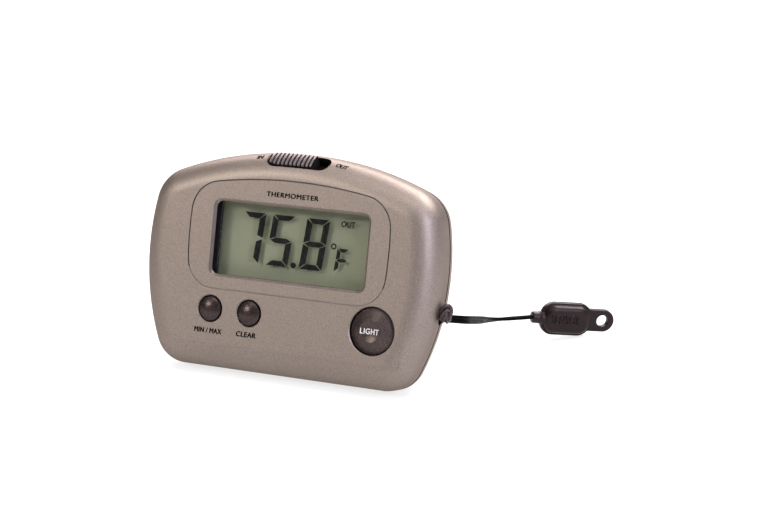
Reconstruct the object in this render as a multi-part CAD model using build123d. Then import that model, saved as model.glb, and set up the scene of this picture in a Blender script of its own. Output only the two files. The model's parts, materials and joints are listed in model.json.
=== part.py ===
"""Indoor/outdoor maximum-minimum thermometer with a wired outdoor sensor.

Millimetres.  The case is modelled in its own frame: X to the right, Y into the
case from the front face, Z up from the bottom edge.  Everything in the case is
then leaned back about X, lifted onto the table (Z = 0) and centred, and the
sensor lead is laid out in that final frame.
"""
import os
from math import cos, radians, sin, tan

from build123d import *

# ---------------------------------------------------------------- dimensions
CASE_W = 110.1          # widest point of the bulging sides
CASE_X = -1.84          # middle of the case; the display is a little to its right
CASE_BOTTOM = -0.5      # bottom edge
CASE_H = 75.1           # top of the dome
CASE_D = 27.0           # front face to back
FRONT_D = 13.0          # depth of the front shell, to the parting line
WALL = 2.0
FACE_WALL = 2.2
FRONT_ROUND = 9.0       # soft front edge
DOME_R = 122.0          # curve of the top edge
SIDE_R = 85.0           # curve of the bulging sides
TOP_CORNER_R = 13.5
BOTTOM_CORNER_R = 11.5
BELT_D = 2.5            # straight band of the rear shell
BACK_TAPER = 24.0       # degrees
LEAN = 15.0             # degrees the case leans back on its stand

WINDOW_W, WINDOW_H = 57.1, 24.9
WINDOW_Z = 44.5
BEZEL_W = 75.1          # thin groove round the display field
BEZEL_X = -0.6

MIN_MAX_AT = (-27.5, 20.0)
CLEAR_AT = (-12.6, 20.0)
LIGHT_AT = (33.1, 19.4)
SMALL_HOLE_R = 4.55
SMALL_BUTTON_R = 4.1
LIGHT_HOLE_R = 8.05
LIGHT_BUTTON_R = 7.55

SLOT_L, SLOT_W = 23.4, 6.8
SLOT_X = -0.6
KNOB_L, KNOB_W = 17.2, 5.8
KNOB_X = -3.3           # knob centre at the IN end
KNOB_PROUD = 0.9
RIBS = 10

PCB_Y, PCB_T = 9.6, 1.6
BATTERY_R, BATTERY_L = 5.25, 44.5
BATTERY_AT = (19.0, 46.4)       # Y, Z of the cell axis
BAY_X, BAY_Z = 27.0, 5.6        # half length and half height of the bay

HINGE_AT = (24.9, 34.5)         # Y, Z of the stand pin
STAND_OPEN = 30.0               # degrees
STAND_HALF_W = 16.8
STAND_T = 2.4
TOE_R = 1.2
POCKET_FLOOR = 22.3
PIN_R = 1.0

NOTCH_Z = 25.2
NOTCH_R = 2.0
SCREWS_AT = ((-40.5, 10.0), (40.5, 10.0), (-40.0, 59.0), (40.0, 59.0))
PCB_SCREWS_AT = ((-38.0, 44.0), (38.0, 44.0), (-20.0, 9.0), (12.0, 11.0))

UNIT_AT = (-32.0, 27.0)
UNIT_TRAVEL = 2.0

# the lead: route in the finished frame, from the board to the sensor boss
LEAD_R = 1.1
LEAD_ROUTE = (
    (41.0, -4.2, 25.5),
    (60.8, -4.4, 26.2),
    (57.0, 20.5, 18.1),
    (51.4, 48.6, 8.9),
    (62.5, 57.7, 8.62),
)
KNOT_AT = (56.8, -5.2, 26.8)
SENSOR_AXIS = 40.0              # degrees from +X, seen from above
SENSOR_DIP = 8.4                # degrees the tab points down
CENTRE_Y = 22.9                 # middle of the leaning case, front to back
SENSOR_CAP_L, SENSOR_CAP_H = 19.4, 12.0
SENSOR_TAB_L, SENSOR_TAB_H = 8.8, 8.1
SENSOR_BOSS_L = 3.3
SENSOR_HOLE_R = 2.1
SENSOR_HOLE_BACK = 4.5           # hole centre to the end of the tab

LEAN_SIN, LEAN_COS = sin(radians(LEAN)), cos(radians(LEAN))
BELT_END = FRONT_D + BELT_D


# ------------------------------------------------------------------- helpers
def block(x0, x1, y0, y1, z0, z1):
    centre = Pos((x0 + x1) / 2, (y0 + y1) / 2, (z0 + z1) / 2)
    return centre * Box(abs(x1 - x0), abs(y1 - y0), abs(z1 - z0))


def rod(x, z, r, y0, y1):
    """A cylinder running front to back."""
    return Pos(x, (y0 + y1) / 2, z) * Rot(90, 0, 0) * Cylinder(r, abs(y1 - y0))


def bar(y, z, r, x0, x1):
    """A cylinder running left to right."""
    return Pos((x0 + x1) / 2, y, z) * Rot(0, 90, 0) * Cylinder(r, abs(x1 - x0))


def slab(sketch, y0, y1, taper=0.0):
    """A sketch drawn in X and Z, made solid from depth y0 to y1."""
    return extrude(Plane.XZ.offset(-y0) * sketch, amount=-(y1 - y0), taper=taper)


def domed_outline(half_w, side_z, side_r, top, top_r, bottom, upper_r, lower_r, inset):
    """Domed top, bulging sides, straight bottom, four rounded corners."""
    shape = Pos(0, top - top_r) * Circle(top_r - inset)
    shape &= Pos(half_w - side_r, side_z) * Circle(side_r - inset)
    shape &= Pos(side_r - half_w, side_z) * Circle(side_r - inset)
    shape &= Pos(0, bottom + inset + 100) * Rectangle(300, 200)
    shape = fillet(shape.vertices().sort_by(Axis.Y)[:2], lower_r - inset)
    corners = [v for v in shape.vertices() if v.Y > side_z + 2]
    return fillet(corners, upper_r - inset)


def case_outline(inset=0.0):
    return Pos(CASE_X, 0) * domed_outline(CASE_W / 2, 39.6, SIDE_R, CASE_H, DOME_R, CASE_BOTTOM,
                                          TOP_CORNER_R, BOTTOM_CORNER_R, inset)


def bezel_outline(inset=0.0):
    return Pos(BEZEL_X, 0) * domed_outline(BEZEL_W / 2, WINDOW_Z + 1.5, 120.0, WINDOW_Z + 21.4, 171.0,
                                           WINDOW_Z - 17.7, 11.0, 10.5, inset)


# -------------------------------------------------------------- front shell
def front_blank(inset, y0, y1, edge_r):
    solid = slab(case_outline(inset), y0, y1)
    return fillet(solid.edges().group_by(Axis.Y)[0], edge_r)


def slider_slot(length, width, inner, outer, centre_x=0.0):
    """A stadium cut through the rounded top edge, square to the surface."""
    at = Plane(origin=(centre_x, FRONT_ROUND, CASE_H - FRONT_ROUND), x_dir=(1, 0, 0),
               z_dir=(0, -sin(radians(40)), cos(radians(40))))
    return extrude(at.offset(inner) * SlotOverall(length, width), amount=outer - inner)


def make_front_shell():
    body = front_blank(0, 0, FRONT_D, FRONT_ROUND)
    body -= front_blank(WALL, FACE_WALL, FRONT_D + 1, FRONT_ROUND - WALL)
    for x, z in SCREWS_AT:
        body += rod(x, z, 3.0, 1.2, FRONT_D)
    for x, z in PCB_SCREWS_AT:
        body += rod(x, z, 2.3, 1.2, PCB_Y)
    for (x, z), r in button_holes():
        body += rod(x, z, r + 1.1, 1.2, 4.2)
    for (x, z), r in button_holes():
        body -= rod(x, z, r, -1, 6)
        body -= Pos(x, 0.15, z) * Rot(90, 0, 0) * Cone(r, r + 0.35, 0.35)
    for x, z in SCREWS_AT:
        body -= rod(x, z, 1.05, 4.5, FRONT_D + 1)
    for x, z in PCB_SCREWS_AT:
        body -= rod(x, z, 0.75, 4.5, PCB_Y + 1)
    opening = Pos(0, WINDOW_Z) * RectangleRounded(WINDOW_W, WINDOW_H, 2.2)
    flare = Pos(0, WINDOW_Z) * RectangleRounded(WINDOW_W + 1.8, WINDOW_H + 1.8, 3.1)
    body -= slab(opening, -1, 4)
    body -= slab(flare, 0, 0.9, taper=44.9)
    body -= slab(bezel_outline(), -0.5, 0.35) - slab(bezel_outline(0.42), -1, 1)
    body -= slider_slot(SLOT_L, SLOT_W, 4.0, 12.0, SLOT_X)
    body -= bar(FRONT_D, NOTCH_Z, NOTCH_R, 40, 60)
    return body


def button_holes():
    return ((MIN_MAX_AT, SMALL_HOLE_R), (CLEAR_AT, SMALL_HOLE_R), (LIGHT_AT, LIGHT_HOLE_R))


# --------------------------------------------------------------- rear shell
def rear_blank(inset, y0, belt_end, back):
    shrink = (back - belt_end) * tan(radians(BACK_TAPER))
    wide = Plane.XZ.offset(-belt_end) * case_outline(inset)
    narrow = Plane.XZ.offset(-back) * case_outline(inset + shrink)
    return slab(case_outline(inset), y0, belt_end) + loft([wide, narrow])


def rear_outer():
    body = rear_blank(0, FRONT_D, BELT_END, CASE_D)
    body = fillet(body.edges().group_by(Axis.Y)[-1], 3.0)
    belt = [e for e in body.edges() if abs(e.bounding_box().min.Y - BELT_END) < 0.01
            and abs(e.bounding_box().max.Y - BELT_END) < 0.01]
    return fillet(belt, 5.0)


def make_rear_shell():
    outer = rear_outer()
    body = outer - rear_blank(WALL, FRONT_D - 1, BELT_END - 0.5, CASE_D - 2.0)
    # shadow groove at the parting line, and the tongue inside the front shell
    body -= slab(case_outline(), FRONT_D - 1, FRONT_D + 0.7) - slab(case_outline(0.35), FRONT_D - 2, CASE_D)
    body += slab(case_outline(1.5), FRONT_D, FRONT_D + 1.6) - slab(case_outline(3.1), FRONT_D - 1, CASE_D)
    body += slab(case_outline(2.1), FRONT_D - 1.4, FRONT_D) - slab(case_outline(3.1), FRONT_D - 2, CASE_D)
    # screw pillars
    for x, z in SCREWS_AT:
        body -= rod(x, z, 3.2, FRONT_D - 3, FRONT_D)
        body += rod(x, z, 3.4, FRONT_D, CASE_D - 1) & outer
    # battery bay and stand pocket, as solid blocks hollowed out next
    by, bz = BATTERY_AT
    bay = block(-BAY_X - 1.4, BAY_X + 1.4, 12.4, CASE_D - 1, bz - BAY_Z - 1.4, bz + BAY_Z + 1.4)
    pocket = block(-19.6, 19.6, POCKET_FLOOR - 1.6, CASE_D - 1, 0, 40.4) & outer
    well = block(-6.6, 6.6, 21.4, CASE_D - 1, 53.0, 67.4) & outer
    body = body + bay + pocket + well
    body -= block(-BAY_X, BAY_X, 13.4, CASE_D + 1, bz - BAY_Z, bz + BAY_Z)
    body -= block(-BAY_X - 1.7, BAY_X + 1.7, CASE_D - 1.5, CASE_D + 1, bz - BAY_Z - 1.2, bz + BAY_Z + 1.2)
    body -= block(BAY_X - 0.5, BAY_X + 4.3, CASE_D - 0.9, CASE_D + 1, bz - 3.5, bz + 3.5)
    body -= block(-17.4, 17.4, POCKET_FLOOR, CASE_D + 1, -1, 38.6)
    body -= bar(*HINGE_AT, PIN_R + 0.03, -19.0, 19.0)
    for x in (-BAY_X, BAY_X - 0.6):
        body -= block(x - 0.1, x + 0.7, 14.4, 17.2, bz - BAY_Z - 2, bz - BAY_Z + 0.5)
    # hanging keyhole with a closed well behind it
    body -= block(-5.4, 5.4, 22.6, CASE_D - 2, 54.2, 66.2)
    body -= rod(0, 58.6, 3.7, 22.6, CASE_D + 1)
    body -= slab(Pos(0, 61.6) * Rectangle(3.8, 6.0), CASE_D - 3, CASE_D + 1)
    body -= rod(0, 64.6, 1.9, CASE_D - 3, CASE_D + 1)
    # screw bores and counterbores
    for x, z in SCREWS_AT:
        body -= rod(x, z, 1.35, FRONT_D - 1, CASE_D + 1)
        body -= rod(x, z, 2.6, 19.6, CASE_D + 1)
    # unit switch opening, vents by the room sensor, lead notch
    ux, uz = UNIT_AT
    body -= slab(Pos(ux, uz) * RectangleRounded(8.2, 4.4, 0.8), CASE_D - 4, CASE_D + 1)
    body -= slab(Pos(ux, uz) * RectangleRounded(12.0, 7.6, 1.2), CASE_D - 0.5, CASE_D + 1)
    for i in range(6):
        body -= slab(Pos(26.4 + 2.9 * i, 27.0) * SlotOverall(13.0, 1.4, rotation=90), CASE_D - 4, CASE_D + 1)
    body -= bar(FRONT_D, NOTCH_Z, NOTCH_R, 40, 60)
    return body


def make_battery_door():
    by, bz = BATTERY_AT
    half_x, half_z = BAY_X + 1.55, BAY_Z + 1.05
    door = slab(Pos(0, bz) * RectangleRounded(2 * half_x, 2 * half_z, 0.8), CASE_D - 1.45, CASE_D)
    thumb = slab(Pos(half_x + 0.9, bz) * RectangleRounded(3.4, 6.6, 0.8), CASE_D - 0.85, CASE_D)
    door += thumb
    for i in range(3):
        door -= block(half_x - 4.6 + 1.6 * i, half_x - 3.8 + 1.6 * i, CASE_D - 0.4, CASE_D + 1, bz - 3, bz + 3)
    for x in (-18.0, 0.0, 18.0):
        door += block(x - 0.7, x + 0.7, CASE_D - 2.3, CASE_D - 1.4, bz - 4.6, bz + 4.6)
    for z in (bz - 3.6, bz + 1.6):
        door += block(-BAY_X + 0.15, -BAY_X + 1.2, CASE_D - 3.6, CASE_D - 1.4, z, z + 2)
    door += block(BAY_X - 1.2, BAY_X - 0.15, CASE_D - 3.6, CASE_D - 1.4, bz - 2.5, bz + 2.5)
    return door


def make_case_screws():
    screw = rod(0, 0, 2.3, 19.62, 21.1) + rod(0, 0, 1.0, 5.2, 19.7)
    screw -= block(-1.4, 1.4, 20.4, 22, -0.28, 0.28) + block(-0.28, 0.28, 20.4, 22, -1.4, 1.4)
    return [Pos(x, 0, z) * screw for x, z in SCREWS_AT]


# ------------------------------------------------------------------ display
def make_display_lens():
    plate = Pos(0, WINDOW_Z) * RectangleRounded(WINDOW_W + 4.4, WINDOW_H + 4.4, 1.5)
    return slab(plate, FACE_WALL, FACE_WALL + 1.2)


def make_lcd_frame():
    y0 = FACE_WALL + 1.2
    frame = slab(Pos(0, WINDOW_Z + 0.8) * RectangleRounded(66.0, 32.2, 1.2), y0, PCB_Y - 0.1)
    frame -= slab(Pos(0.3, WINDOW_Z) * Rectangle(WINDOW_W - 0.5, WINDOW_H + 1.4), y0 - 1, y0 + 3)
    return frame - slab(Pos(0, WINDOW_Z + 0.7) * Rectangle(62.4, 29.8), y0 + 1.2, PCB_Y + 1)


def make_lcd_cell():
    return slab(Pos(0, WINDOW_Z + 0.7) * Rectangle(62.0, 29.4), 4.65, 6.6)


def make_light_guide():
    return slab(Pos(-0.8, WINDOW_Z + 1.75) * Rectangle(60.0, 26.7), 6.6, 8.9)


def make_backlight_led():
    return block(29.4, 30.9, 6.8, PCB_Y, WINDOW_Z - 1.6, WINDOW_Z + 1.6)


def make_zebra_connector():
    return block(-27.5, 27.5, 6.6, PCB_Y, WINDOW_Z - 13.8, WINDOW_Z - 11.9)


# ------------------------------------------------------------ circuit board
def make_circuit_board():
    shape = Pos(0, 33.6) * RectangleRounded(82.0, 56.0, 2.0)
    board = slab(shape, PCB_Y, PCB_Y + PCB_T)
    for x in (-39.0, 39.0):
        board -= block(x - 2.4, x + 2.4, PCB_Y - 1, PCB_Y + 3, 0, 13.8)
        board -= block(x - 2.4, x + 2.4, PCB_Y - 1, PCB_Y + 3, 55.2, 64)
    for x, z in PCB_SCREWS_AT:
        board -= rod(x, z, 1.1, PCB_Y - 1, PCB_Y + PCB_T + 1)
    return board


def make_pcb_screws():
    back = PCB_Y + PCB_T
    screw = rod(0, 0, 1.9, back, back + 1.1) + rod(0, 0, 0.7, 5.0, back + 0.1)
    screw -= block(-1.1, 1.1, back + 0.6, back + 2, -0.22, 0.22) + block(-0.22, 0.22, back + 0.6, back + 2, -1.1, 1.1)
    return [Pos(x, 0, z) * screw for x, z in PCB_SCREWS_AT]


def make_controller_chip():
    back = PCB_Y + PCB_T
    dome = Pos(4, back, 28) * Rot(90, 0, 0) * Cylinder(6.5, 2.2)
    ball = Pos(4, back - 12.6, 28) * Sphere(13.8)
    return (dome & ball) - block(-20, 20, 0, back, 0, 60)


def make_crystal():
    back = PCB_Y + PCB_T
    return Pos(-12, back + 1.1, 30) * Cylinder(1.05, 6.2)


def make_capacitor():
    back = PCB_Y + PCB_T
    return Pos(20, back + 2.6, 26) * Cylinder(2.5, 7.0)


def make_indoor_thermistor():
    back = PCB_Y + PCB_T
    bead = Pos(34, back + 4.2, 31) * Sphere(1.3)
    legs = rod(33.4, 31, 0.3, back, back + 4.0) + rod(34.6, 31, 0.3, back, back + 4.0)
    return bead + legs


def tact_body(at):
    x, z = at
    body = block(x - 3, x + 3, 6.4, PCB_Y, z - 3, z + 3)
    return body - rod(x, z, 1.85, 4, 8.6)


def tact_plunger(at):
    x, z = at
    return rod(x, z, 1.75, 5.6, 7.2)


# ------------------------------------------------------------------ buttons
def small_button(at):
    """A dome over a short skirt, with a keeper flange behind the face."""
    x, z = at
    r = SMALL_BUTTON_R
    ball_r = 7.0
    dome = rod(x, z, r, -1.35, 1.0) & (Pos(x, ball_r - 1.35, z) * Sphere(ball_r))
    button = dome + rod(x, z, r, 0.6, 4.3)
    return button + rod(x, z, r + 1.5, 4.3, 4.9) + rod(x, z, 1.6, 4.9, 5.6)


def light_button():
    """A shallow cone falling outward, with a dished disc in the middle."""
    x, z = LIGHT_AT
    r = LIGHT_BUTTON_R
    cone = Pos(x, 0.05, z) * Rot(90, 0, 0) * Cone(r, 4.0, 2.1)
    button = cone + rod(x, z, r, 1.0, 4.3)
    button -= Pos(x, -1.0 - 10.6, z) * Sphere(11.2) & rod(x, z, 3.7, -3, 0.5)
    return button + rod(x, z, r + 1.2, 4.3, 5.0) + rod(x, z, 2.2, 5.0, 5.6)


# ---------------------------------------------------------- IN / OUT switch
def make_in_out_knob():
    """Ribbed cap, round at the IN end only, a cover strip under it and a fork for the lever."""
    cap = slider_slot(KNOB_L + KNOB_W, KNOB_W, 5.0, 12.0, KNOB_X + KNOB_W / 2)
    cap &= block(-30, KNOB_X + KNOB_L / 2, -5, FRONT_D, 50, 90)
    cap &= front_blank(-KNOB_PROUD, -KNOB_PROUD, FRONT_D, FRONT_ROUND + KNOB_PROUD)
    root = front_blank(-0.25, -0.25, FRONT_D, FRONT_ROUND + 0.25)
    pitch = (KNOB_L - 2.0) / RIBS
    for i in range(RIBS + 1):
        x = KNOB_X + (i - RIBS / 2) * pitch
        cap -= block(x - 0.36, x + 0.36, -2, FRONT_D + 1, 60, 80) - root
    centre_y, centre_z = FRONT_ROUND, CASE_H - FRONT_ROUND
    strip = slider_slot(32.4, 7.4, 3.0, 8.0, KNOB_X)
    strip &= bar(centre_y, centre_z, 5.5, -30, 30) - bar(centre_y, centre_z, 4.6, -31, 31)
    web = block(KNOB_X - 3, KNOB_X + 3, 5.6, 15.2, 69.4, 70.7)
    fork = block(KNOB_X - 3, KNOB_X + 3, 12.0, 15.2, 65.2, 70.7)
    fork -= block(KNOB_X - 1.15, KNOB_X + 1.15, 11, 16, 64, 67.8)
    return cap + strip + web + fork


def make_in_out_lever():
    return block(KNOB_X - 1.1, KNOB_X + 1.1, 12.7, 14.5, 61.2, 67.6)


def make_in_out_switch():
    back = PCB_Y + PCB_T
    body = block(-6.6, 6.6, back, back + 4.8, 57.0, 61.55 + 1.6)
    return body - block(KNOB_X - 1.4, KNOB_X + 1.4 + 4.6, 12.4, 14.8, 61.0, 64)


# ------------------------------------------------------------- unit switch
def make_unit_switch():
    x, z = UNIT_AT
    back = PCB_Y + PCB_T
    body = block(x - 4.6, x + 4.6, back, back + 3.4, z - 1.9, z + 1.9)
    return body - block(x - 2.1, x + 2.1, back + 1.6, back + 4, z - 0.9, z + 0.9)


def make_unit_knob():
    x, z = UNIT_AT
    x -= UNIT_TRAVEL / 2
    back = PCB_Y + PCB_T
    knob = block(x - 2.6, x + 2.6, CASE_D - 2.6, CASE_D - 0.6, z - 2.0, z + 2.0)
    for i in range(3):
        knob -= block(x - 1.6 + 1.2 * i, x - 0.8 + 1.2 * i, CASE_D - 1.1, CASE_D, z - 3, z + 3)
    knob += block(x - 6.6, x + 6.6, CASE_D - 3.3, CASE_D - 2.2, z - 3.2, z + 3.2)
    knob += block(x - 1.2, x + 1.2, back + 3.7, CASE_D - 2.6, z - 1.2, z + 1.2)
    return knob + block(x - 0.9, x + 0.9, back + 1.8, back + 3.8, z - 0.75, z + 0.75)


# ------------------------------------------------------------------ battery
def make_battery():
    y, z = BATTERY_AT
    x0 = -BATTERY_L / 2 + 2.4
    can = bar(y, z, BATTERY_R, x0, x0 + BATTERY_L - 1.0)
    can = fillet(can.edges(), 0.5)
    return can + bar(y, z, 1.9, x0 + BATTERY_L - 1.2, x0 + BATTERY_L)


def make_battery_spring():
    """Contact plate at the negative end with a conical coil."""
    y, z = BATTERY_AT
    plate = block(-BAY_X, -BAY_X + 0.4, y - 4.2, y + 4.2, z - 4.8, z + 4.8)
    plate += block(-BAY_X, -BAY_X + 0.4, 14.6, 17.0, z - BAY_Z - 3.2, z - 4)
    path = Helix(pitch=1.5, height=6.0, radius=3.6, cone_angle=-12)
    start = path @ 0
    wire = sweep(Plane(origin=start, z_dir=path % 0) * Circle(0.32), path)
    coil = Pos(-BAY_X + 0.45, y, z) * Rot(0, 90, 0) * wire
    return plate + coil


def make_battery_contact():
    y, z = BATTERY_AT
    tip = -BATTERY_L / 2 + 2.4 + BATTERY_L
    plate = block(BAY_X - 0.4, BAY_X, y - 4.2, y + 4.2, z - 4.8, z + 4.8)
    plate += block(BAY_X - 0.4, BAY_X, 14.6, 17.0, z - BAY_Z - 3.2, z - 4)
    return plate + bar(y, z, 2.2, tip, BAY_X - 0.3)


def make_battery_wire(side):
    """A thin insulated wire from a contact tab down to the board."""
    back = PCB_Y + PCB_T
    x = side * (BAY_X - 1.0)
    path = FilletPolyline((x, 15.8, 39.0), (x, 15.8, 33.0), (x, back, 33.0), radius=1.6)
    return sweep(Plane(origin=path @ 0, z_dir=path % 0) * Circle(0.58), path)


# -------------------------------------------------------------------- stand
def stand_reach(lift):
    y, z = HINGE_AT
    hinge_height = -y * LEAN_SIN + z * LEAN_COS + lift
    return (hinge_height - TOE_R) / cos(radians(STAND_OPEN - LEAN))


def make_stand_leg(lift):
    """Drawn about its hinge pin, hanging straight down, then swung open."""
    reach = stand_reach(lift)
    half = STAND_T / 2
    wide, narrow = STAND_HALF_W, STAND_HALF_W - 3.0
    leg = block(-wide, wide, -half, half, -reach, 2.8)
    leg += bar(0, -reach, TOE_R, -wide, wide) + bar(0, 0, 2.0, -wide, wide)
    rim = Polyline((-wide, 4), (wide, 4), (wide, -6), (narrow, -reach - 2), (-narrow, -reach - 2),
                   (-wide, -6), (-wide, 4))
    leg &= extrude(Plane.XZ * make_face(rim), amount=6, both=True)
    panel = RectangleRounded(19.0, reach - 12.0, 3.0)
    leg -= slab(Pos(0, -reach / 2 - 0.5) * panel, half - 0.8, half + 1)
    leg -= slab(Pos(0, -reach + 2.0) * SlotOverall(12.0, 1.4), half - 0.5, half + 1)
    leg -= bar(0, 0, PIN_R + 0.05, -20, 20)
    return Pos(0, *HINGE_AT) * Rot(STAND_OPEN, 0, 0) * leg


def make_stand_pin():
    return bar(*HINGE_AT, PIN_R, -18.9, 18.9)


# ------------------------------------------------------------- sensor, lead
def make_sensor():
    """Drawn along +X from the lead end, broad side facing -Y, then placed."""
    cap_mid = SENSOR_BOSS_L + SENSOR_CAP_L / 2
    end = SENSOR_BOSS_L + SENSOR_CAP_L + SENSOR_TAB_L
    flange = slab(Pos(cap_mid, 0) * RectangleRounded(SENSOR_CAP_L, SENSOR_CAP_H, 4.9), -1.2, 1.2)
    pillow = slab(Pos(cap_mid, 0) * RectangleRounded(SENSOR_CAP_L - 1.6, SENSOR_CAP_H - 1.6, 4.2), -3.2, 3.2)
    pillow = fillet(pillow.edges().group_by(Axis.Y)[0] + pillow.edges().group_by(Axis.Y)[-1], 1.3)
    tab = slab(Pos(end - SENSOR_TAB_H / 2 - 3, 0) * SlotOverall(SENSOR_TAB_H + 6, SENSOR_TAB_H), -1.1, 1.1)
    boss = bar(0, 0, 2.1, 0, SENSOR_BOSS_L + 2)
    body = flange + pillow + tab + fillet(boss.edges().sort_by(Axis.X)[0], 0.7)
    body -= rod(end - SENSOR_HOLE_BACK, 0, SENSOR_HOLE_R, -4, 4)
    return body - Pos(cap_mid, 0, 0) * Sphere(1.5)


def make_sensor_bead():
    return Pos(SENSOR_BOSS_L + SENSOR_CAP_L / 2, 0, 0) * Sphere(1.4)


def place_sensor(piece):
    return Pos(*LEAD_ROUTE[-1]) * Rot(0, 0, SENSOR_AXIS) * Rot(0, SENSOR_DIP, 0) * Pos(0.12, 0, 0) * piece


def lead_path():
    """Straight runs joined by bends as wide as the shorter run allows."""
    points = [Vector(*p) for p in LEAD_ROUTE]
    radii = []
    for before, here, after in zip(points, points[1:], points[2:]):
        run = min((here - before).length, (after - here).length)
        turn = radians((here - before).get_angle(after - here))
        radii.append(0.45 * run / tan(turn / 2))
    return FilletPolyline(*points, radius=radii)


def make_sensor_lead():
    path = lead_path()
    return sweep(Plane(origin=path @ 0, z_dir=path % 0) * Circle(LEAD_R), path)


def make_lead_knot(lead):
    """A tight overhand knot against the case, with the lead running through it."""
    loop = Rot(0, 78, 15) * Torus(1.75, 1.05)
    second = Rot(62, 10, 0) * Torus(1.6, 1.05)
    knot = Pos(*KNOT_AT) * (loop + second + Sphere(2.1))
    clear = Plane(origin=lead @ 0, z_dir=lead % 0) * Circle(LEAD_R + 0.02)
    return knot - sweep(clear, lead)


# ----------------------------------------------------------------- assembly
def case_pieces(lift):
    """Every piece carried by the case, in the case's own frame."""
    return {
        "front_shell": make_front_shell(),
        "rear_shell": make_rear_shell(),
        "battery_door": make_battery_door(),
        "case_screws": make_case_screws(),
        "display_lens": make_display_lens(),
        "lcd_frame": make_lcd_frame(),
        "lcd_cell": make_lcd_cell(),
        "light_guide": make_light_guide(),
        "backlight_led": make_backlight_led(),
        "zebra_connector": make_zebra_connector(),
        "circuit_board": make_circuit_board(),
        "pcb_screws": make_pcb_screws(),
        "controller_chip": make_controller_chip(),
        "crystal": make_crystal(),
        "capacitor": make_capacitor(),
        "indoor_thermistor": make_indoor_thermistor(),
        "min_max_button": small_button(MIN_MAX_AT),
        "clear_button": small_button(CLEAR_AT),
        "light_button": light_button(),
        "min_max_switch": tact_body(MIN_MAX_AT),
        "clear_switch": tact_body(CLEAR_AT),
        "light_switch": tact_body(LIGHT_AT),
        "min_max_plunger": tact_plunger(MIN_MAX_AT),
        "clear_plunger": tact_plunger(CLEAR_AT),
        "light_plunger": tact_plunger(LIGHT_AT),
        "in_out_knob": make_in_out_knob(),
        "in_out_lever": make_in_out_lever(),
        "in_out_switch": make_in_out_switch(),
        "unit_knob": make_unit_knob(),
        "unit_switch": make_unit_switch(),
        "battery": make_battery(),
        "battery_spring": make_battery_spring(),
        "battery_contact": make_battery_contact(),
        "battery_wire_neg": make_battery_wire(-1),
        "battery_wire_pos": make_battery_wire(1),
        "stand_leg": make_stand_leg(lift),
        "stand_pin": make_stand_pin(),
    }


def resting_lift():
    """How far the leaned case must rise for its lower back edge to touch Z = 0."""
    leaned = Rot(-LEAN, 0, 0) * rear_outer()
    return -leaned.bounding_box().min.Z


def main():
    os.makedirs("parts", exist_ok=True)
    lift = resting_lift()
    stand_up = Pos(-CASE_X, -CENTRE_Y, lift) * Rot(-LEAN, 0, 0)
    nodes = {}
    for name, piece in case_pieces(lift).items():
        solids = piece if isinstance(piece, list) else [piece]
        nodes[name] = [stand_up * solid for solid in solids]
    path = lead_path()
    nodes["sensor_lead"] = [make_sensor_lead()]
    nodes["lead_knot"] = [make_lead_knot(path)]
    nodes["sensor_body"] = [place_sensor(make_sensor())]
    nodes["sensor_bead"] = [place_sensor(make_sensor_bead())]
    for name, solids in nodes.items():
        shape = solids[0] if len(solids) == 1 else Compound(children=solids)
        export_step(shape, f"parts/{name}.step")
        box = shape.bounding_box()
        low, high = box.min, box.max
        print(f"{name:18s} {len(shape.solids())} solid  vol {shape.volume:9.2f}  "
              f"x {low.X:7.2f} {high.X:7.2f}  y {low.Y:7.2f} {high.Y:7.2f}  z {low.Z:6.2f} {high.Z:6.2f}")
    print(f"lift {lift:.4f}")


if __name__ == "__main__":
    main()
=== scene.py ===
"""Looks for an indoor/outdoor maximum-minimum thermometer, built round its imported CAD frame.

Blender works in metres.  Places on the case are given in the case's own frame, in millimetres:
X to the right of the display's middle, Y into the case from its face, Z up from its bottom edge.
"""
import json
import math
import random

import bmesh
import bpy
from mathutils import Matrix, Vector
from mathutils.bvhtree import BVHTree


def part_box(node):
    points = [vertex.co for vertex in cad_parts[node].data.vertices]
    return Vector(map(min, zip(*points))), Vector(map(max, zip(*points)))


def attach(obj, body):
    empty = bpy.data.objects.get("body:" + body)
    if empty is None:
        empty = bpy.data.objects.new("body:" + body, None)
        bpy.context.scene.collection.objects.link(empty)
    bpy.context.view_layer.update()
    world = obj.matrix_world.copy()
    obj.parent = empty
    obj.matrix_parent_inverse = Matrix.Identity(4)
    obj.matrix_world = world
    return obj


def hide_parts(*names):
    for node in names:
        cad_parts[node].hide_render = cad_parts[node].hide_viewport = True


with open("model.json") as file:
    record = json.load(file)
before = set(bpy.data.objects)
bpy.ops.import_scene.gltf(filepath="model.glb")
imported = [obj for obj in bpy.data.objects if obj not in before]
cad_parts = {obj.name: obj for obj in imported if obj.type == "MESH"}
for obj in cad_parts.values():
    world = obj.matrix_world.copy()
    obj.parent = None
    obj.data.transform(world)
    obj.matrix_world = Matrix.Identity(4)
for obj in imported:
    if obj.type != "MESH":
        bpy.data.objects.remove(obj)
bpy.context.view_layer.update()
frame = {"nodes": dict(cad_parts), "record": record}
NODES = frame["nodes"]

MM = 0.001
FRONT = Vector((0, -1, 0))
BACK = Vector((0, 1, 0))
UP = Vector((0, 0, 1))

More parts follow.
